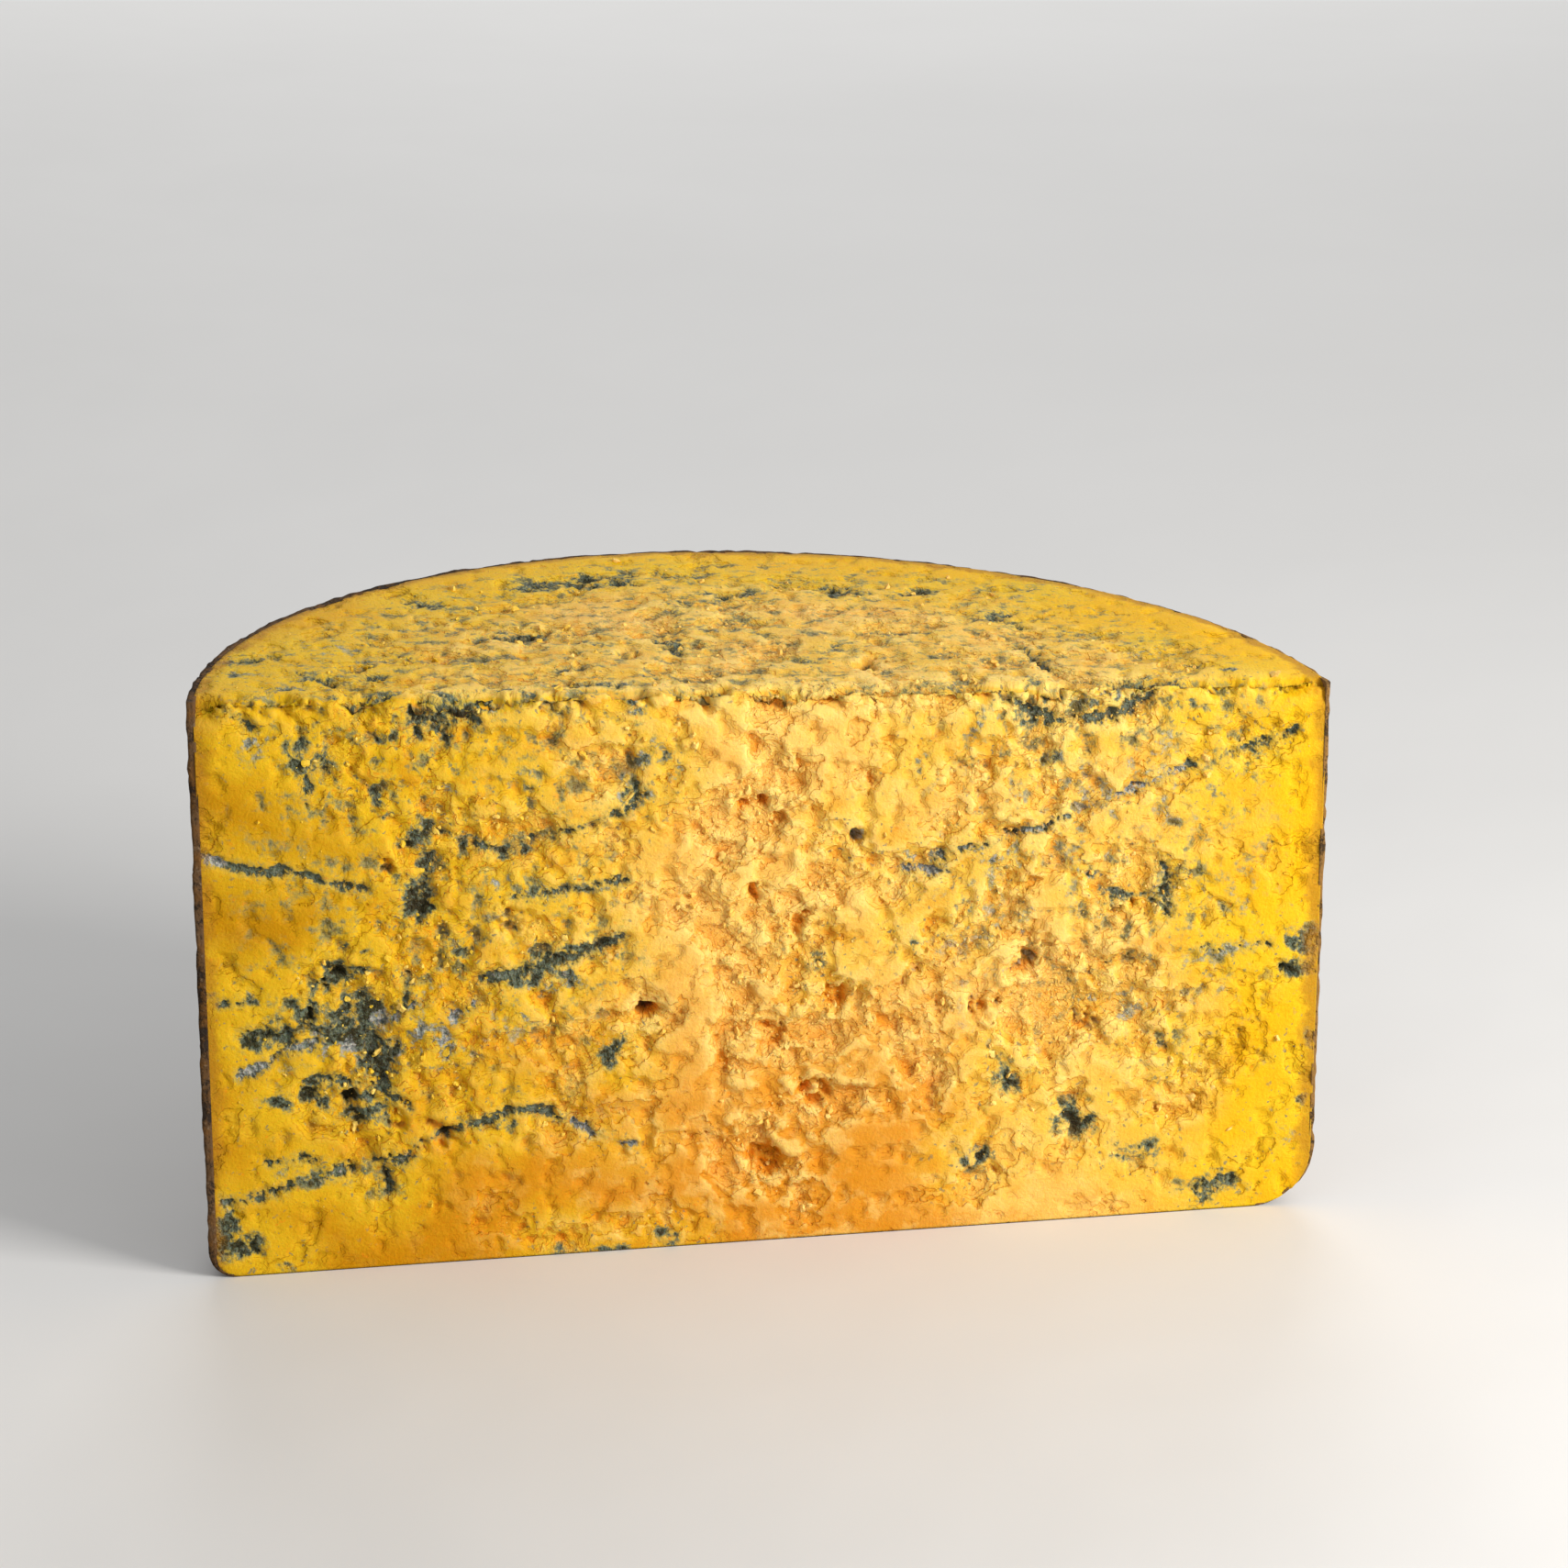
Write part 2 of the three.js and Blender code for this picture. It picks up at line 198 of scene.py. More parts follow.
TOP_HOLLOWS = [
    (20, 15, 4, 2.0), (-23, 24, 4, 1.2), (48, 30, 5, 1.0), (-58, 14, 5, 1.0), (24, 20, 3, 1.6), (-60, 50, 3, 1.0),
]

# Where the front is most crumbly: place (across, up), half width, half height and how much
CRUMBLY_PLACES = [
    (2, 45, 17, 62, 1.0), (52, 46, 24, 20, 1.0), (-2, 84, 16, 18, 0.8), (58, 62, 20, 14, 0.7), (-70, 44, 26, 22, 0.7),
    (-55, 82, 22, 14, 0.6), (48, 92, 26, 16, 0.5), (-62, 104, 16, 8, 0.6), (76, 34, 16, 16, 0.6), (-48, 66, 20, 10, 0.5),
]

# The colours of the paste and of its mould, as linear red, green and blue
AMBER = (0.53, 0.250, 0.001, 1)
GOLD = (0.82, 0.44, 0.003, 1)
YELLOW = (0.77, 0.475, 0.012, 1)
PEACH = (0.88, 0.50, 0.10, 1)
ORANGE = (0.66, 0.24, 0.002, 1)
CREAM = (0.95, 0.68, 0.20, 1)
# Deep orange for painted shade and warm glow in recesses and pinholes
RECESS_SHADE = (0.80, 0.25, 0.006, 1)
# Dark red-brown for painted shade at the bottom of the deepest hollows
HOLE_SHADE = (0.22, 0.055, 0.02, 1)
UNDER_RIND = (0.42, 0.19, 0.012, 1)
SHADOWED = (0.28, 0.27, 0.09, 1)
TEAL = (0.11, 0.15, 0.12, 1)
GREY_BLUE = (0.22, 0.25, 0.26, 1)
BLACK_GREEN = (0.010, 0.017, 0.016, 1)
FUZZ = (0.50, 0.49, 0.45, 1)


# Node trees written as Python expressions

class Value:
    """A node's output, with Python's arithmetic. Numbers go through Math nodes, vectors through Vector Math."""

    def __init__(self, nodes, socket):
        self.nodes = nodes
        self.socket = socket

    def __add__(self, other):
        return self.nodes.combine("ADD", self, other)

    def __radd__(self, other):
        return self.nodes.combine("ADD", other, self)

    def __sub__(self, other):
        return self.nodes.combine("SUBTRACT", self, other)

    def __rsub__(self, other):
        return self.nodes.combine("SUBTRACT", other, self)

    def __mul__(self, other):
        return self.nodes.combine("MULTIPLY", self, other)

    def __rmul__(self, other):
        return self.nodes.combine("MULTIPLY", other, self)

    def __truediv__(self, other):
        return self.nodes.combine("DIVIDE", self, other)

    def __pow__(self, power):
        return self.nodes.combine("POWER", self, power)


def is_vector(term):
    if isinstance(term, Value):
        return term.socket.type in ("VECTOR", "RGBA")
    return isinstance(term, tuple)


class Nodes:
    """A node tree of a material or of a modifier."""

    def __init__(self, tree):
        self.tree = tree

    def add(self, kind, settings=None, inputs=None, output=0):
        node = self.tree.nodes.new(kind)
        for name, setting in (settings or {}).items():
            setattr(node, name, setting)
        for name, value in (inputs or {}).items():
            if isinstance(value, Value):
                self.tree.links.new(value.socket, node.inputs[name])
            else:
                node.inputs[name].default_value = value
        return Value(self, node.outputs[output])

    def end(self, kind, value):
        """The tree's last node, which takes the value in its first socket."""
        self.tree.links.new(value.socket, self.tree.nodes.new(kind).inputs[0])

    def combine(self, operation, first, second):
        if not (is_vector(first) or is_vector(second)):
            return self.math(operation, first, second)
        if operation == "MULTIPLY" and is_vector(first) != is_vector(second):
            vector, number = (first, second) if is_vector(first) else (second, first)
            return self.add("ShaderNodeVectorMath", {"operation": "SCALE"}, {0: vector, 3: number})
        terms = [(term, term, term) if isinstance(term, (int, float)) else term for term in (first, second)]
        return self.add("ShaderNodeVectorMath", {"operation": operation}, {0: terms[0], 1: terms[1]})

    def math(self, operation, *terms):
        return self.add("ShaderNodeMath", {"operation": operation}, dict(enumerate(terms)))

    def painted(self, name, vector=False):
        """An attribute that was painted on the mesh."""
        if self.tree.type == "SHADER":
            return self.add("ShaderNodeAttribute", {"attribute_name": name}, output="Vector" if vector else "Fac")
        kind = "FLOAT_VECTOR" if vector else "FLOAT"
        return self.add("GeometryNodeInputNamedAttribute", {"data_type": kind}, {"Name": name}, "Attribute")

    def place(self):
        """The place on the piece, in millimetres."""
        if self.tree.type == "SHADER":
            return self.add("ShaderNodeTexCoord", output="Object") * (1 / MM)
        return self.add("GeometryNodeInputPosition") * (1 / MM)

    def parts(self, vector):
        node = self.add("ShaderNodeSeparateXYZ", None, {0: vector}).socket.node
        return [Value(self, socket) for socket in node.outputs]

    def vector(self, x, y, z):
        return self.add("ShaderNodeCombineXYZ", None, {0: x, 1: y, 2: z})

    def length(self, vector):
        return self.add("ShaderNodeVectorMath", {"operation": "LENGTH"}, {0: vector}, output=1)

    def ramp(self, value, start, end):
        """Rises smoothly from 0 at start to 1 at end, or falls where end is the lower one."""
        settings = {"interpolation_type": "SMOOTHSTEP"}
        if start < end:
            return self.add("ShaderNodeMapRange", settings, {0: value, 1: start, 2: end, 3: 0.0, 4: 1.0})
        return self.add("ShaderNodeMapRange", settings, {0: value, 1: end, 2: start, 3: 1.0, 4: 0.0})

    def mix(self, factor, first, second):
        """A blend of two numbers or of two colours."""
        if is_vector(first) or is_vector(second):
            return self.add("ShaderNodeMix", {"data_type": "RGBA"}, {0: factor, 6: first, 7: second}, output=2)
        return self.add("ShaderNodeMix", {"data_type": "FLOAT"}, {0: factor, 2: first, 3: second})

    def noise(self, place, size, detail=2.0, roughness=0.5, flat=True, output="Fac"):
        """Smooth noise from 0 to 1, whose lumps are about that many millimetres across."""
        settings = {"noise_dimensions": "2D" if flat else "3D"}
        inputs = {"Vector": place, "Scale": 1 / size, "Detail": detail, "Roughness": roughness}
        return self.add("ShaderNodeTexNoise", settings, inputs, output)

    def ledges(self, depth, step, edge=0.3):
        """A depth above 0 in flat steps, as curd breaks. Also its edges: from 0 to 1 and back within each edge."""
        level = self.math("MAXIMUM", depth, 0.0) * (1 / step)
        part = self.math("FRACT", level)
        down = self.ramp(part, 0.0, edge)
        return (self.math("FLOOR", level) + down) * step, down * self.ramp(part, 2 * edge, edge)

    def cells(self, place, size, feature="F1", output="Distance", flat=True, smoothness=None):
        """Cells about that many millimetres across. Distances are in cell sizes."""
        settings = {"voronoi_dimensions": "2D" if flat else "3D", "feature": feature}
        inputs = {"Vector": place, "Scale": 1 / size}
        if smoothness is not None:
            inputs["Smoothness"] = smoothness
        return self.add("ShaderNodeTexVoronoi", settings, inputs, output)

    def pushed(self, place, size, reach, detail=1.0, flat=True):
        """The place, pushed about by a noise of that size, by up to about reach."""
        push = self.noise(place, size, detail=detail, flat=flat, output="Color")
        return place + (push - 0.5) * (2.0 * reach)


def warped_sheets(nodes):
    """The unfolded place on the cut faces, and that place pushed about coarsely and finely."""
    sheet = nodes.painted("sheet", vector=True)
    ragged = nodes.pushed(sheet, 3.4, 1.5, detail=3.0)
    frayed = nodes.pushed(sheet + (40.0, 80.0, 0.0), 1.6, 0.7, detail=3.0)
    return sheet, ragged, frayed


def curd_fields(nodes):
    """How far the curd is torn out, in millimetres, its chips and its hollows. These are kept as painted values."""
    sheet, ragged, frayed = warped_sheets(nodes)
    rough = nodes.painted("rough")
    tearing = nodes.noise(ragged + (70.0, 15.0, 0.0), TEAR, detail=4.0, roughness=0.52)
    tear = (tearing + rough * 0.22 - 0.625) * TEAR_DEPTH
    flaking = nodes.noise(frayed + (12.0, 55.0, 0.0), FLAKE, detail=2.0, roughness=0.5)
    flake = (flaking + rough * 0.17 - 0.60) * FLAKE_DEPTH
    chip, chip_tone, _ = nodes.parts(nodes.cells(frayed, CHIP, output="Color"))
    torn = nodes.ramp(tear, 0.3, 0.6)
    tear = tear + (chip - 0.5) * 0.7 * torn
    lost = nodes.painted("hollow")
    ragged_edge = (nodes.noise(frayed, 2.4, detail=2.0) - 0.5) * 4.0 + (chip - 0.5) * 1.4
    hollow = lost + ragged_edge * nodes.ramp(lost, 0.3, 1.2) - nodes.ramp(lost, 2.4, 1.0) * 0.4
    return {"torn": torn, "tear": tear, "flake": flake, "chip tone": chip_tone,
            "lost": nodes.ramp(hollow, 0.2, 2.0) * hollow}


def mould_fields(nodes, sheet, dip=0.0):
    """How dense the mould is, from 0 to 1, in threads and clots of its patches and along its tracks."""
    lying = sheet + nodes.vector(0.0, nodes.painted("behind") * 0.5, 0.0)
    wobble = nodes.noise(lying, 2.2, detail=3.0, roughness=0.65)
    spread = nodes.noise(lying + (61.0, 23.0, 0.0), 5.5, detail=2.0)
    fine = nodes.noise(sheet + (17.0, 3.0, 0.0), 0.8, detail=2.0)
    patch = nodes.painted("mould")
    net = nodes.pushed(sheet, 1.8, 1.0, detail=2.0)
    thread = nodes.math("ABSOLUTE", nodes.noise(net, 3.4, detail=3.0, roughness=0.6) - 0.5) * 7.0
    growth = patch * 1.15 + (spread - 0.5) * 2.8 + (wobble - 0.5) * 2.4 + (fine - 0.5) * 0.6 - 0.5 + dip * 0.6
    in_patch = nodes.ramp(patch, 0.0, 0.15)
    lace = nodes.ramp(growth - thread * 0.6, -0.25, 0.5) * in_patch * (nodes.ramp(patch, 0.15, 0.6) * 0.4 + 0.6)
    track = nodes.painted("track") + (wobble - 0.5) * 3.0 + (spread - 0.5) * 3.6 + (fine - 0.5) * 2.0 + 0.4
    along = nodes.ramp(track, 0.35, -0.3)
    stain = nodes.ramp(growth - thread * 0.3, -0.6, 0.4) * in_patch
    stain = nodes.math("MAXIMUM", stain, nodes.ramp(track, 1.6, -0.2) * 0.8)
    rim = nodes.ramp(track, -0.7, 0.0) * along * 0.8
    blackness = nodes.math("MAXIMUM", nodes.ramp(growth + (fine - 0.5) * 2.8 + dip * 0.6, 0.35, 1.5), rim)
    return SimpleNamespace(
        dense=nodes.math("MAXIMUM", lace, along), along=along, stain=stain, blackness=blackness, net=net,
        wobble=wobble, fine=fine, spread=spread)


# Modelling by hand

def deselect_all():
    for piece in list(bpy.context.selected_objects):
        piece.select_set(False)


def choose(piece):
    deselect_all()
    piece.select_set(True)
    bpy.context.view_layer.objects.active = piece


def edit(piece):
    choose(piece)
    bpy.ops.object.mode_set(mode="EDIT")


def leave_edit():
    bpy.ops.object.mode_set(mode="OBJECT")


def vertex_places(mesh):
    places = np.empty(len(mesh.vertices) * 3)
    mesh.vertices.foreach_get("co", places)
    return places.reshape(-1, 3) / MM


def edge_ends(mesh):
    ends = np.empty(len(mesh.edges) * 2, dtype=int)
    mesh.edges.foreach_get("vertices", ends)
    return ends.reshape(-1, 2)


def pick_edges(piece, test):
    """In edit mode, selects only the edges whose two ends, in millimetres, pass the test."""
    bpy.ops.mesh.select_mode(type="EDGE")
    bpy.ops.mesh.select_all(action="DESELECT")
    leave_edit()
    mesh = piece.data
    places = vertex_places(mesh)
    ends = edge_ends(mesh)
    mesh.edges.foreach_set("select", test(places[ends[:, 0]], places[ends[:, 1]]))
    edit(piece)


def pick_faces(piece, test):
    """In edit mode, selects only the faces whose middle, in millimetres, passes the test."""
    bpy.ops.mesh.select_mode(type="FACE")
    bpy.ops.mesh.select_all(action="DESELECT")
    leave_edit()
    faces = piece.data.polygons
    middles = np.empty(len(faces) * 3)
    faces.foreach_get("center", middles)
    faces.foreach_set("select", test(middles.reshape(-1, 3) / MM))
    edit(piece)


def both(test):
    """A test of an edge that holds where it holds at both of its ends."""
    return lambda a, b: test(a) & test(b)


def near(values, target, reach=0.01):
    return np.abs(values - target) < reach


def near_plane(axis, target, reach=0.01):
    """A test of places that holds near that plane."""
    return lambda p: near(p[:, axis], target, reach)


def share(values, start, end):
    """Rises from 0 at start to 1 at end."""
    return np.clip((values - start) / (end - start), 0, 1)


def apply_modifier(piece, modifier):
    choose(piece)
    bpy.ops.object.modifier_apply(modifier=modifier.name)


def apply_nodes(piece, name, build):
    """Runs a small geometry node tree on the piece. build takes the tree's nodes and its mesh, and gives a mesh."""
    tree = bpy.data.node_groups.new(name, "GeometryNodeTree")
    tree.interface.new_socket("Geometry", in_out="INPUT", socket_type="NodeSocketGeometry")
    tree.interface.new_socket("Geometry", in_out="OUTPUT", socket_type="NodeSocketGeometry")
    nodes = Nodes(tree)
    nodes.end("NodeGroupOutput", build(nodes, nodes.add("NodeGroupInput")))
    modifier = piece.modifiers.new(name, "NODES")
    modifier.node_group = tree
    apply_modifier(piece, modifier)


def paint(piece, name, values):
    """Paints a number, or a vector, on each vertex."""
    vector = values.ndim == 2
    layer = piece.data.attributes.new(name, "FLOAT_VECTOR" if vector else "FLOAT", "POINT")
    layer.data.foreach_set("vector" if vector else "value", values.astype(np.float32).ravel())


def base_round(across):
    """The rounding of the wheel's end, which grows from left to right."""
    return LEFT_BASE_ROUND + (RIGHT_BASE_ROUND - LEFT_BASE_ROUND) * share(across, -WHEEL_RADIUS, WHEEL_RADIUS)


def rind_thickness(across):
    return LEFT_RIND + (RIGHT_RIND - LEFT_RIND) * share(across, -WHEEL_RADIUS, WHEEL_RADIUS)


def top_height(across):
    return MIDDLE_HEIGHT - TOP_SLOPE * across


def model_drum(name, columns, side_inset, base_inset, shift):
    """A whole drum inside the wheel's skin, with its foot rounded as the wheel's end is."""
    top = MIDDLE_HEIGHT + 2
    bpy.ops.mesh.primitive_cylinder_add(
        vertices=columns, radius=(WHEEL_RADIUS - side_inset) * MM, depth=(top - base_inset) * MM,
        location=(shift * MM, AXIS * MM, (top + base_inset) / 2 * MM))
    drum = bpy.context.object
    drum.name = name
    bpy.ops.object.transform_apply(location=True, rotation=True, scale=True)
    places = vertex_places(drum.data)
    ends = edge_ends(drum.data)
    first, second = places[ends[:, 0]], places[ends[:, 1]]
    at_foot = near(first[:, 2], base_inset) & near(second[:, 2], base_inset)
    rounding = (base_round((first[:, 0] + second[:, 0]) / 2) - side_inset) / RIGHT_BASE_ROUND
    weights = drum.data.attributes.new("bevel_weight_edge", "FLOAT", "EDGE")
    weights.data.foreach_set("value", np.where(at_foot, rounding, 0.0))
    bevel = drum.modifiers.new("foot", "BEVEL")
    bevel.limit_method = "WEIGHT"
    bevel.width = RIGHT_BASE_ROUND * MM
    bevel.segments = 10
    apply_modifier(drum, bevel)
    return drum


def model_block(name):
    """A block whose front and top are fine grids. It is longer and deeper than the half wheel."""
    width = 2 * (WHEEL_RADIUS + 1)
    depth = BACK - FRONT + 2
    bpy.ops.mesh.primitive_cube_add(size=1, location=(0, (FRONT + depth / 2) * MM, MIDDLE_HEIGHT / 2 * MM))
    block = bpy.context.object
    block.name = name
    block.scale = (width * MM, depth * MM, MIDDLE_HEIGHT * MM)
    bpy.ops.object.transform_apply(location=True, rotation=True, scale=True)
    front = near_plane(1, FRONT)
    top = near_plane(2, MIDDLE_HEIGHT)
    edit(block)
    for axis, length, splits, place in (
            (0, width, COLUMNS, near_plane(0, 0, width)), (2, MIDDLE_HEIGHT, ROWS, front), (1, depth, TOP_ROWS, top)):
        for parts in splits:
            pick_edges(block, lambda a, b: near(np.abs(a[:, axis] - b[:, axis]), length) & place(a) & place(b))
            bpy.ops.mesh.subdivide(number_cuts=parts - 1)
            length /= parts
    leave_edit()
    return block


def ovals(sheet, spots, top, spread=1.0, wider=0.0):
    """For each vertex, how near it is to the middle of its nearest spot, from 1 there to 0 at the spot's edge."""
    nearness = np.zeros(len(sheet))
    nearest = np.zeros(len(sheet), dtype=int)
    for i, (across, up, half_width, half_height, *_) in enumerate(spots):
        middle = top_height(across) + up if top else up
        width, height = half_width * spread + wider, half_height * spread + wider
        here = 1 - np.hypot((sheet[:, 0] - across) / width, (sheet[:, 1] - middle) / height)
        closer = here > nearness
        nearness[closer] = here[closer]
        nearest[closer] = i
    return nearness, nearest


def track_distance(sheet, tracks, top):
    """For each vertex, its distance from the edge of the nearest track, less than 0 inside, and how grey that is."""
    distance = np.full(len(sheet), 50.0)
    grey = np.zeros(len(sheet))
    for width, greyness, line in tracks:
        points = np.array([(x, top_height(x) + y if top else y) for x, y in line], dtype=float)
        for start, end in zip(points, points[1:]):
            run = end - start
            along = np.clip((sheet[:, :2] - start) @ run / (run @ run), 0, 1)
            away = np.linalg.norm(sheet[:, :2] - start - along[:, None] * run, axis=1) - width / 2
            closer = away < distance
            distance[closer] = away[closer]
            grey[closer] = greyness
    return distance, grey


def paint_paste(paste):
    """Paints what relief and colour read: the unfolded place, mould, tracks, hollows and how crumbly it is."""
    places = vertex_places(paste.data)
    across = places[:, 0]
    behind = places[:, 1] - FRONT
    up = places[:, 2] * top_height(across) / MIDDLE_HEIGHT
    sheet = np.column_stack([across, np.where(behind > 0.01, top_height(across) + behind, up), np.zeros(len(across))])
    noise.seed_set(WANDER_SEED)
    wandering = sheet + [WANDER * noise.turbulence_vector(Vector(place) / WANDER_SIZE, 3, False) for place in sheet]
    mould = np.zeros(len(across))
    hollow = np.zeros(len(across))
    track = np.full(len(across), 50.0)
    grey = np.zeros(len(across))
    yellow = np.zeros(len(across))
    for tracks, patches, hollows, top in (
            (FRONT_TRACKS, FRONT_PATCHES, FRONT_HOLLOWS, False), (TOP_TRACKS, TOP_PATCHES, TOP_HOLLOWS, True)):
        distance, greyness = track_distance(wandering * 0.3 + sheet * 0.7, tracks, top)
        closer = distance < track
        grey = np.where(closer, greyness, grey)
        track = np.where(closer, distance, track)
        nearness, nearest = ovals(wandering, patches, top, PATCH_SPREAD)
        density = np.array([patch[4] for patch in patches])[nearest] * np.minimum(1, nearness * 1.6)
        around, _ = ovals(wandering, patches, top, PATCH_SPREAD, YELLOW_REACH)
        yellow = np.maximum(yellow, np.maximum(share(around, 0, 0.6), 0.8 * share(distance, YELLOW_REACH, 0)))
        denser = density > mould
        greys = np.array([patch[5] for patch in patches])[nearest]
        grey = np.where(denser & (track > 1.5), greys, grey)
        mould = np.where(denser, density, mould)
        nearness, nearest = ovals(
            wandering * 0.5 + sheet * 0.5, [(x, y, radius, radius, deep) for x, y, radius, deep in hollows], top)
        depth = np.array([spot[3] for spot in hollows])[nearest] * np.minimum(1, nearness * 1.8)
        hollow = np.maximum(hollow, depth)
    under_rind = WHEEL_RADIUS - np.hypot(across, places[:, 1] - AXIS)
    outside_heart = share(np.abs(across - 4), 14, 40)
    on_front = 0.14 * share(places[:, 2], 10, 60) * outside_heart
    everywhere = np.where(behind > 0.01, 0.20 - 0.08 * share(across, 0, 90), on_front)
    mould = np.maximum(mould, everywhere * share(under_rind, 3, 14))
    nearness, nearest = ovals(sheet, CRUMBLY_PLACES, False)
    crumbly = np.array([spot[4] for spot in CRUMBLY_PLACES])[nearest] * np.minimum(1, nearness * 2)
    depth_in = np.minimum(under_rind, np.where(behind > 0.01, 99, 4 + places[:, 2]))
    rough = np.clip(0.42 * share(depth_in, 4, 26) + 0.6 * crumbly + 0.2 * mould, 0.06, 1)
    paint(paste, "sheet", sheet)
    paint(paste, "mould", mould)
    paint(paste, "hollow", hollow)
    paint(paste, "track", track)
    paint(paste, "grey", grey)
    paint(paste, "rough", rough)
    paint(paste, "behind", np.maximum(behind, 0))
    paint(paste, "yellow", yellow)


def paste_relief(nodes, mesh):
    """Tilts the top, rounds and chips the crease, and raises the broken curd on both cut faces."""
    sheet, ragged, _ = warped_sheets(nodes)
    fields = curd_fields(nodes)
    mould = mould_fields(nodes, sheet)
    tear, _ = nodes.ledges(fields["tear"], TEAR_STEP)
    flake, _ = nodes.ledges(fields["flake"], FLAKE_STEP)
    x, y, z = nodes.parts(nodes.place())
    relief = ((nodes.noise(sheet, 38.0, detail=1.0) - 0.5) * 1.5
              + (nodes.noise(ragged, 12.0, detail=2.0) - 0.5) * 0.4
              + 0.3
              - nodes.math("MINIMUM", tear + flake, 1.9) * nodes.mix(nodes.ramp(nodes.painted("behind"), 0.5, 3.0), 1.0, 0.7)
              - fields["lost"]
              - mould.along * 0.6
              + (mould.fine - 0.5) * mould.dense * 0.9
              - mould.dense * 0.3)
    radial = nodes.length(nodes.vector(x, y - AXIS, 0.0))
    at_rind = nodes.ramp(WHEEL_RADIUS - radial, 1.0, 5.0)
    relief = relief * nodes.mix(at_rind, 0.35, 1.0) * nodes.ramp(z, 0.3, 3.0)
    crease = nodes.ramp(y - FRONT, 4.5, 0.0) * nodes.ramp(MIDDLE_HEIGHT - z, 4.5, 0.0)
    chipping = nodes.noise(ragged, 9.0, detail=4.0, roughness=0.62)
    broken, _ = nodes.ledges(nodes.ramp(chipping, 0.44, 0.62) * 3.2, 0.8)
    chipped = crease * (0.2 + broken)
    outward_front = nodes.ramp(y - FRONT, 1.2, 0.0)
    outward_top = nodes.ramp(MIDDLE_HEIGHT - z, 1.2, 0.0)
    tilt = z * x * (-TOP_SLOPE / MIDDLE_HEIGHT)
    offset = nodes.vector(0.0, (chipped - relief) * outward_front, (relief - chipped) * outward_top + tilt)
    for name, value in {**fields, "mouldy": mould.dense, "relief": relief - chipped}.items():
        mesh = nodes.add("GeometryNodeStoreNamedAttribute", {"data_type": "FLOAT", "domain": "POINT"}, {
            "Geometry": mesh, "Name": name, "Value": value})
    return nodes.add("GeometryNodeSetPosition", None, {"Geometry": mesh, "Offset": offset * MM})


def paint_dips(piece, rounds):
    """Paints how far each vertex lies below the surface around it, in millimetres. That is less than 0 on a ridge."""
    relief = np.empty(len(piece.data.vertices), dtype=np.float32)
    piece.data.attributes["relief"].data.foreach_get("value", relief)
    first, second = edge_ends(piece.data).T
    neighbours = np.bincount(first, minlength=len(relief)) + np.bincount(second, minlength=len(relief))
    around = relief.astype(float)
    for _ in range(rounds):
        total = np.bincount(first, around[second], len(relief)) + np.bincount(second, around[first], len(relief))
        around = total / np.maximum(neighbours, 1)
    paint(piece, "dip", around - relief)


def model_paste():
    """The paste inside the rind: the fine block, trimmed by a drum, as the wheel was cut, and then broken up."""
    paste = model_block("paste")
    carrier = bpy.data.objects.new("crumb carrier", paste.data.copy())
    bpy.context.scene.collection.objects.link(carrier)
    side_inset = (LEFT_RIND + RIGHT_RIND) / 2 - PASTE_INTO_RIND
    shift = (LEFT_RIND - RIGHT_RIND) / 2
    trimmer = model_drum("trimmer", TRIMMER_COLUMNS, side_inset, BASE_RIND - PASTE_INTO_RIND, shift)
    trim = paste.modifiers.new("trim", "BOOLEAN")
    trim.operation = "INTERSECT"
    trim.solver = "MANIFOLD"
    trim.object = trimmer
    apply_modifier(paste, trim)
    bpy.data.objects.remove(trimmer)
    for piece in (paste, carrier):
        paint_paste(piece)
        apply_nodes(piece, "broken curd", paste_relief)
    paint_dips(paste, 20)
    choose(paste)
    bpy.ops.object.shade_smooth()
    return paste, carrier


def rind_relief(nodes, mesh):
    """Bumps, wrinkles and pits of the dry rind. The base stays flat."""
    place = nodes.place()
    x, y, z = nodes.parts(place)
    bumps = nodes.noise(place, 9.0, detail=3.0, flat=False) - 0.5
    warts = nodes.cells(nodes.pushed(place, 3.0, 1.0, flat=False), 3.4, "SMOOTH_F1", flat=False, smoothness=0.3)
    pits = nodes.ramp(nodes.noise(place + (40.0, 0.0, 0.0), 4.5, detail=1.0, flat=False), 0.62, 0.78)
    lumpy = nodes.ramp(nodes.noise(place + (0.0, 20.0, 0.0), 12.0, detail=1.0, flat=False), 0.42, 0.6)
    raised = bumps * 0.9 + (0.4 - warts) * (lumpy * 0.6 + 0.2) - pits * 0.4 + 0.2
    relief = nodes.math("MAXIMUM", raised, -0.1)
    normal = nodes.add("GeometryNodeInputNormal")
    along_x, along_y, along_z = nodes.parts(normal)
    outward = nodes.ramp(along_x * x + along_y * (y - AXIS) - along_z * (MIDDLE_HEIGHT / 2), 0.0, 20.0)
    tilt = nodes.vector(0.0, 0.0, z * x * (-TOP_SLOPE / MIDDLE_HEIGHT))
    offset = normal * (relief * outward * nodes.ramp(z, 0.2, 3.0)) + tilt
    return nodes.add("GeometryNodeSetPosition", None, {"Geometry": mesh, "Offset": offset * MM})


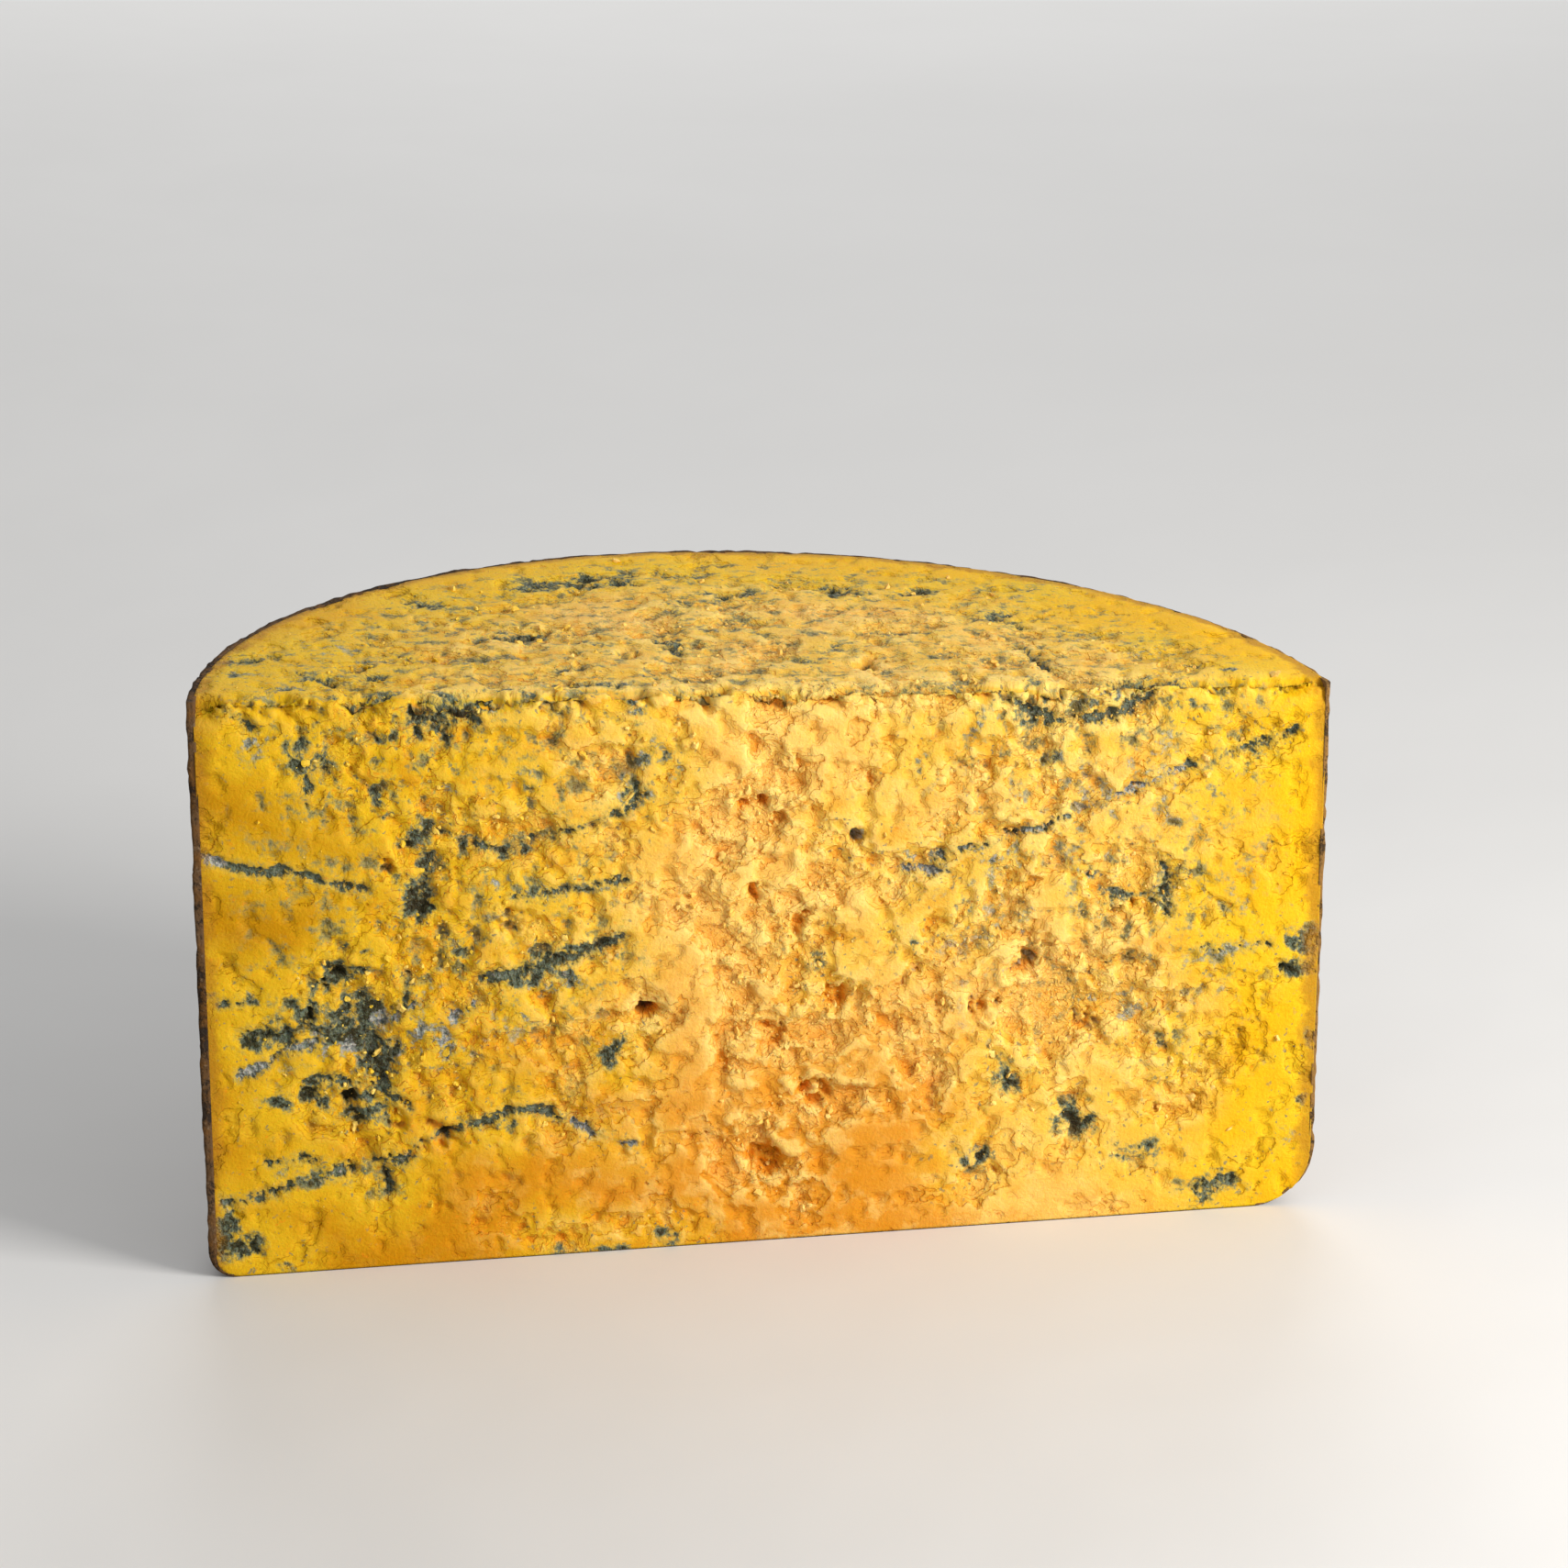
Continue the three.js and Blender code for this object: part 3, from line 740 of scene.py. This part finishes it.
def model_rind():
    """The rind: a drum's skin, opened at the top, cut at the front, and thickened inwards."""
    rind = model_drum("rind", RIND_COLUMNS, 0, 0, 0)
    edit(rind)
    pick_faces(rind, lambda middle: near(middle[:, 2], MIDDLE_HEIGHT + 2))
    bpy.ops.mesh.delete(type="FACE")
    bpy.ops.mesh.select_mode(type="EDGE")
    bpy.ops.mesh.select_all(action="SELECT")
    bpy.ops.mesh.bisect(plane_co=(0, FRONT * MM, 0), plane_no=(0, 1, 0), clear_inner=True)
    bpy.ops.mesh.select_all(action="SELECT")
    bpy.ops.mesh.bisect(plane_co=(0, 0, MIDDLE_HEIGHT * MM), plane_no=(0, 0, 1), clear_outer=True)
    pick_edges(rind, lambda a, b: np.abs(a[:, 2] - b[:, 2]) > MIDDLE_HEIGHT / 2)
    bpy.ops.mesh.subdivide(number_cuts=RIND_CUTS)
    leave_edit()
    places = vertex_places(rind.data)
    on_side = share(places[:, 2], 0.0, base_round(places[:, 0]))
    thickness = BASE_RIND + (rind_thickness(places[:, 0]) - BASE_RIND) * on_side
    group = rind.vertex_groups.new(name="thickness")
    for index, weight in enumerate(thickness / LEFT_RIND):
        group.add([index], float(weight), "REPLACE")
    wall = rind.modifiers.new("wall", "SOLIDIFY")
    wall.thickness = LEFT_RIND * MM
    wall.offset = -1
    wall.vertex_group = "thickness"
    apply_modifier(rind, wall)
    edit(rind)
    pick_edges(rind, across_the_cut)
    bpy.ops.mesh.subdivide(number_cuts=2)
    bpy.ops.mesh.select_all(action="SELECT")
    bpy.ops.mesh.normals_make_consistent(inside=False)
    leave_edit()
    apply_nodes(rind, "dry rind", rind_relief)
    choose(rind)
    bpy.ops.object.shade_smooth()
    return rind


def across_the_cut(a, b):
    """Holds for the short edges across the rind's cut, at the front and along the top."""
    on_front = near(a[:, 1], FRONT, 0.4) & near(b[:, 1], FRONT, 0.4) & near(a[:, 2], b[:, 2], 0.1)
    on_front &= (np.abs(a[:, 0] - b[:, 0]) > 0.3) & (np.abs(a[:, 0]) > WHEEL_RADIUS - RIGHT_BASE_ROUND)
    on_top = near(a[:, 2], MIDDLE_HEIGHT, 0.05) & near(b[:, 2], MIDDLE_HEIGHT, 0.05)
    on_top &= np.abs(np.hypot(a[:, 0], a[:, 1] - AXIS) - np.hypot(b[:, 0], b[:, 1] - AXIS)) > 0.3
    return on_front | on_top


def model_crumbs(carrier):
    """Loose crumbs and chips that lie on both cut faces. The carrier has the same surface and isn't kept."""
    bpy.ops.mesh.primitive_ico_sphere_add(subdivisions=2, radius=0.5 * MM)
    crumbs = bpy.context.object
    crumbs.name = "crumbs"

    def scatter(nodes, mesh):
        lumpy = nodes.noise(nodes.place(), 0.5, detail=2.0, flat=False, output="Color") - 0.5
        grain = nodes.add("GeometryNodeSetPosition", None, {"Geometry": mesh, "Offset": lumpy * (1.1 * MM)})
        source = nodes.add("GeometryNodeObjectInfo", None, {"Object": carrier}, "Geometry")
        x, y, z = nodes.parts(nodes.add("GeometryNodeInputNormal"))
        facing = nodes.math("MAXIMUM", nodes.math("GREATER_THAN", y * -1.0, 0.5), nodes.math("GREATER_THAN", z, 0.5))
        place_x, place_y, height = nodes.parts(nodes.place())
        radial = nodes.length(nodes.vector(place_x, place_y - AXIS, 0.0))
        kept = nodes.math("LESS_THAN", radial, WHEEL_RADIUS - 4) * nodes.math("GREATER_THAN", height, 3.0)
        bare = nodes.ramp(nodes.painted("mould"), 0.8, 0.3) * 0.7 + 0.3
        loose = (nodes.painted("torn") * 0.85 + 0.1) * nodes.painted("rough") ** 1.5 + nodes.painted("yellow") * 0.06
        density = loose * bare * facing * kept
        points = nodes.add("GeometryNodeDistributePointsOnFaces", {"distribute_method": "POISSON"}, {
            "Mesh": source, "Distance Min": 0.8 * MM, "Density Max": 350000.0, "Density Factor": density, "Seed": 4})
        turn = nodes.add("FunctionNodeRandomValue", {"data_type": "FLOAT_VECTOR"}, {
            0: (0, 0, 0), 1: (math.tau, math.tau, math.tau), 8: 2})
        size = nodes.add("FunctionNodeRandomValue", {"data_type": "FLOAT"}, {2: 0.0, 3: 1.0, 8: 5}, output=1)
        flat = nodes.add("FunctionNodeRandomValue", {"data_type": "FLOAT_VECTOR"}, {
            0: (0.6, 0.7, 0.4), 1: (1.5, 1.3, 0.8), 8: 7})
        placed = nodes.add("GeometryNodeInstanceOnPoints", None, {
            "Points": points, "Instance": grain, "Rotation": turn, "Scale": flat * (size ** 4.0 * 1.3 + 0.35)})
        tint = nodes.add("FunctionNodeRandomValue", {"data_type": "FLOAT"}, {2: 0.0, 3: 1.0, 8: 9}, output=1)
        tinted = nodes.add("GeometryNodeStoreNamedAttribute", {"data_type": "FLOAT", "domain": "INSTANCE"}, {
            "Geometry": placed, "Name": "tint", "Value": tint})
        return nodes.add("GeometryNodeRealizeInstances", None, {"Geometry": tinted})

    apply_nodes(crumbs, "scattered crumbs", scatter)
    bpy.data.objects.remove(carrier)
    choose(crumbs)
    bpy.ops.object.shade_smooth_by_angle(angle=math.radians(35))
    return crumbs


# Finishes

def new_material(name):
    material = bpy.data.materials.new(name)
    material.use_nodes = True
    material.node_tree.nodes.clear()
    return material, Nodes(material.node_tree)


def shade(nodes, surface):
    """Ends a material with its shader. surface holds the shader's sockets by name."""
    nodes.end("ShaderNodeOutputMaterial", nodes.add("ShaderNodeBsdfPrincipled", None, surface))


def bump(nodes, height, strength=1.0):
    """A Bump node for a height in millimetres."""
    return nodes.add("ShaderNodeBump", None, {"Height": height, "Distance": MM, "Strength": strength}, "Normal")


def paste_material():
    material, nodes = new_material("annatto paste")
    sheet, ragged, frayed = warped_sheets(nodes)
    dip, torn, yellow = (nodes.painted(name) for name in ("dip", "torn", "yellow"))
    mould = mould_fields(nodes, sheet, dip)
    nick = nodes.noise(frayed * (0.7, 1.0, 1.0), 1.4, detail=3.0, roughness=0.65)
    tear, tear_edge = nodes.ledges(nodes.painted("tear") + (nick - 0.5) * 0.5, TEAR_STEP, 0.15)
    flake, flake_edge = nodes.ledges(nodes.painted("flake") + (nick - 0.5) * 0.4, FLAKE_STEP, 0.15)
    deep = tear + flake
    x, y, z = nodes.parts(nodes.place())
    under_rind = WHEEL_RADIUS - nodes.length(nodes.vector(x, y - AXIS, 0.0))
    cloud = nodes.noise(sheet + (5.0, 60.0, 0.0), 22.0, detail=3.0)
    inside = nodes.ramp(under_rind + (cloud - 0.5) * 30.0, 8.0, 42.0)
    on_top = nodes.ramp(nodes.painted("behind"), 0.0, 4.0)
    heart = inside * nodes.ramp(x + (cloud - 0.5) * 40.0 + on_top * 20.0, -68.0, -12.0)
    # Deeper orange near the base of the front, except at its right end: partly the paste's own colour, partly painted
    # shade near the floor and behind a loose wedge that isn't modelled.
    low_orange_and_shade = nodes.ramp(z + (cloud - 0.5) * 24.0, 72.0, 10.0) * nodes.ramp(x + (cloud - 0.5) * 30.0, 56.0, 16.0)
    to_left = nodes.ramp(x + (cloud - 0.5) * 30.0, -10.0, -90.0) * (1.0 - on_top * 0.6)
    patchy = nodes.noise(ragged + (9.0, 9.0, 0.0), 6.0, detail=3.0, roughness=0.6)
    base = nodes.mix(heart, nodes.mix(to_left, GOLD, AMBER), PEACH)
    base = nodes.mix(low_orange_and_shade * 0.85, base, nodes.mix(to_left * 0.8, ORANGE, AMBER))
    base = nodes.mix(yellow * (0.8 - heart * 0.3), base, YELLOW)
    base = nodes.mix(nodes.ramp(patchy, 0.5, 0.74) * (0.03 + heart * 0.37), base, CREAM)
    base = nodes.mix(nodes.ramp(patchy, 0.48, 0.28) * (0.15 + inside * 0.25), base, ORANGE)
    base = nodes.mix(nodes.painted("chip tone") * torn * (0.04 + heart * 0.36), base, CREAM)
    # Painted shade and warm glow: deeper torn places, dips below the surface around them and the drop of each ledge
    # are tinted deep orange, amber near the rind.
    recess_shade = nodes.mix(inside, AMBER, RECESS_SHADE)
    base = nodes.mix(nodes.ramp(deep, 0.4, 2.6) * 0.25, base, recess_shade)
    base = nodes.mix(nodes.ramp(dip, 0.15, 1.0) * 0.7, base, recess_shade)
    base = nodes.mix(nodes.math("MAXIMUM", tear_edge * 0.55, flake_edge * 0.2), base, recess_shade)
    # Painted highlight: ridges above the surface around them are tinted paler cream, most in the heart.
    base = nodes.mix(nodes.ramp(dip, -0.05, -0.5) * (0.08 + heart * 0.5), base, CREAM)
    # Painted shade: the deepest hollows are dark red-brown at the bottom.
    base = nodes.mix(nodes.ramp(nodes.painted("lost"), 2.8, 3.8), base, HOLE_SHADE)
    # Pinholes: small dots tinted with the painted shade of the recesses; no hole is cut in the mesh there.
    pins = nodes.ramp(nodes.cells(ragged, 3.4) + (mould.fine - 0.5) * 0.2, 0.14, 0.04)
    pins = pins * nodes.ramp(mould.spread, 0.52, 0.62)
    base = nodes.mix(pins * 0.5, base, RECESS_SHADE)
    speck = nodes.ramp(nodes.cells(mould.net, 2.1) + (mould.fine - 0.5) * 0.3, 0.2, 0.06)
    base = nodes.mix(speck * yellow * nodes.ramp(mould.wobble, 0.5, 0.56) * 0.7, base, TEAL)
    base = nodes.mix(mould.stain * 0.65, base, SHADOWED)
    dark = nodes.mix(mould.blackness, TEAL, BLACK_GREEN)
    fuzzy = nodes.mix(nodes.ramp(mould.fine, 0.4, 0.7), GREY_BLUE, FUZZ)
    pale = nodes.ramp(nodes.painted("grey") + (mould.fine - 0.5) * 1.2 - mould.blackness * 0.4, 0.25, 0.8)
    base = nodes.mix(mould.dense * 0.9, base, nodes.mix(pale, dark, fuzzy))
    near_rind = nodes.ramp(under_rind + (patchy - 0.5) * 6.0, 4.2, 1.2)
    base = nodes.mix(near_rind * 0.75, base, UNDER_RIND)
    grain = nodes.noise(sheet, 0.6, detail=2.0, roughness=0.6)
    streaks = nodes.noise(sheet * (0.12, 1.0, 1.0), 1.1, detail=2.0)
    height = (grain * 0.14
              + streaks * 0.08
              + nick * (torn * 0.4 + 0.15)
              - deep * 0.8
              + (mould.fine - 0.4) * nodes.painted("mouldy"))
    shade(nodes, {
        "Base Color": base,
        "Roughness": 0.55 + grain * 0.2,
        "Normal": bump(nodes, height),
        "Subsurface Weight": 0.3,
        "Subsurface Radius": (1.0, 0.40, 0.08),
        "Subsurface Scale": 1.6 * MM,
        "Specular IOR Level": 0.08,
    })
    return material


def rind_material():
    material, nodes = new_material("dry brown rind")
    place = nodes.place()
    blotch = nodes.noise(place, 14.0, detail=4.0, roughness=0.6, flat=False)
    mottle = nodes.noise(place + (50.0, 0.0, 0.0), 3.0, detail=4.0, roughness=0.65, flat=False)
    speck = nodes.noise(place + (0.0, 80.0, 0.0), 1.1, detail=3.0, roughness=0.6, flat=False)
    base = nodes.mix(nodes.ramp(blotch, 0.35, 0.65), (0.070, 0.033, 0.010, 1), (0.115, 0.064, 0.030, 1))
    base = nodes.mix(nodes.ramp(mottle, 0.45, 0.7) * 0.6, base, (0.17, 0.072, 0.015, 1))
    base = nodes.mix(nodes.ramp(speck, 0.58, 0.75) * 0.35, base, (0.34, 0.25, 0.16, 1))
    across, _, _ = nodes.parts(place)
    base = nodes.mix(nodes.ramp(across, 70.0, 104.0) * 0.55, base, (0.36, 0.19, 0.05, 1))
    black = nodes.ramp(mottle + (speck - 0.5) * 0.6 + (blotch - 0.5) * 0.5, 0.50, 0.32)
    base = nodes.mix(black * 0.8, base, (0.022, 0.018, 0.016, 1))
    shade(nodes, {
        "Base Color": base,
        "Roughness": 0.78 + speck * 0.2,
        "Normal": bump(nodes, mottle * 0.7 + speck * 0.35 - black * 0.2),
        "Specular IOR Level": 0.12,
    })
    return material


def crumb_material():
    material, nodes = new_material("loose crumbs")
    tint = nodes.painted("tint")
    grain = nodes.noise(nodes.place(), 0.4, detail=2.0, flat=False)
    x, _, _ = nodes.parts(nodes.place())
    base = nodes.mix(nodes.ramp(x, -60.0, 0.0) * 0.8, YELLOW, PEACH)
    base = nodes.mix(nodes.ramp(tint, 0.4, 1.0) * 0.5, base, CREAM)
    shade(nodes, {
        "Base Color": base,
        "Roughness": 0.6 + grain * 0.1,
        "Normal": bump(nodes, grain * 0.15),
        "Subsurface Weight": 0.2,
        "Subsurface Radius": (1.0, 0.45, 0.12),
        "Subsurface Scale": 1.0 * MM,
    })
    return material


def floor_material():
    material, nodes = new_material("pale floor")
    cloud = nodes.noise(nodes.place(), 160.0, detail=3.0)
    base = nodes.mix(cloud, (0.70, 0.69, 0.675, 1), (0.74, 0.73, 0.715, 1))
    shade(nodes, {"Base Color": base, "Roughness": 0.7, "Normal": bump(nodes, cloud * 2.0)})
    return material


def finish(piece, material):
    piece.data.materials.clear()
    piece.data.materials.append(material)


# The pieces

deselect_all()
paste, carrier = model_paste()
rind = model_rind()
crumbs = model_crumbs(carrier)
finish(paste, paste_material())
finish(rind, rind_material())
finish(crumbs, crumb_material())
for piece, slot in ((paste, "paste"), (rind, "rind"), (crumbs, "paste")):
    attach(piece, "root")
    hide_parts("half_wheel")

# The floor, the light and the camera

FLOOR_SIZE = 8
deselect_all()
bpy.ops.mesh.primitive_grid_add(x_subdivisions=8, y_subdivisions=8, size=FLOOR_SIZE, location=(0, 0, 0))
floor = bpy.context.object
floor.name = "floor"
finish(floor, floor_material())


def add_light(name, place, aim, size, power, tint):
    """A soft square light at a place, in metres, turned to what it aims at."""
    lamp = bpy.data.lights.new(name, "AREA")
    lamp.shape = "SQUARE"
    lamp.size = size
    lamp.energy = power
    lamp.color = tint
    light = bpy.data.objects.new(name, lamp)
    bpy.context.scene.collection.objects.link(light)
    light.location = place
    light.rotation_euler = (Vector(aim) - Vector(place)).to_track_quat("-Z", "Y").to_euler()
    light.visible_camera = False


add_light("key", (0.62, -0.52, 0.40), (0.0, 0.0, 0.05), 0.36, 8.8, (1.0, 0.98, 0.95))
add_light("backdrop light", (0.5, 3.0, 1.7), (0.4, 2.6, 0.0), 1.6, 42.0, (1.0, 1.0, 1.0))
world = bpy.data.worlds.new("studio")
bpy.context.scene.world = world
world.use_nodes = True
world.node_tree.nodes["Background"].inputs["Color"].default_value = (0.98, 0.99, 1.0, 1)
world.node_tree.nodes["Background"].inputs["Strength"].default_value = 0.45

CAMERA_PLACE = (-134.35, -853.98, 367.93)
CAMERA_TURN = -9.62
CAMERA_TILT = 18.74
LENS = 109.54
camera_data = bpy.data.cameras.new("camera")
camera_data.lens = LENS
camera_data.sensor_width = 36
camera = bpy.data.objects.new("camera", camera_data)
bpy.context.scene.collection.objects.link(camera)
camera.location = [value * MM for value in CAMERA_PLACE]
camera.rotation_euler = (math.radians(90 - CAMERA_TILT), 0, math.radians(CAMERA_TURN))
bpy.context.scene.camera = camera
bpy.context.scene.view_settings.view_transform = "Standard"

for piece in (paste, rind, crumbs):
    piece.data.calc_loop_triangles()
    print(piece.name, len(piece.data.loop_triangles), "triangles")
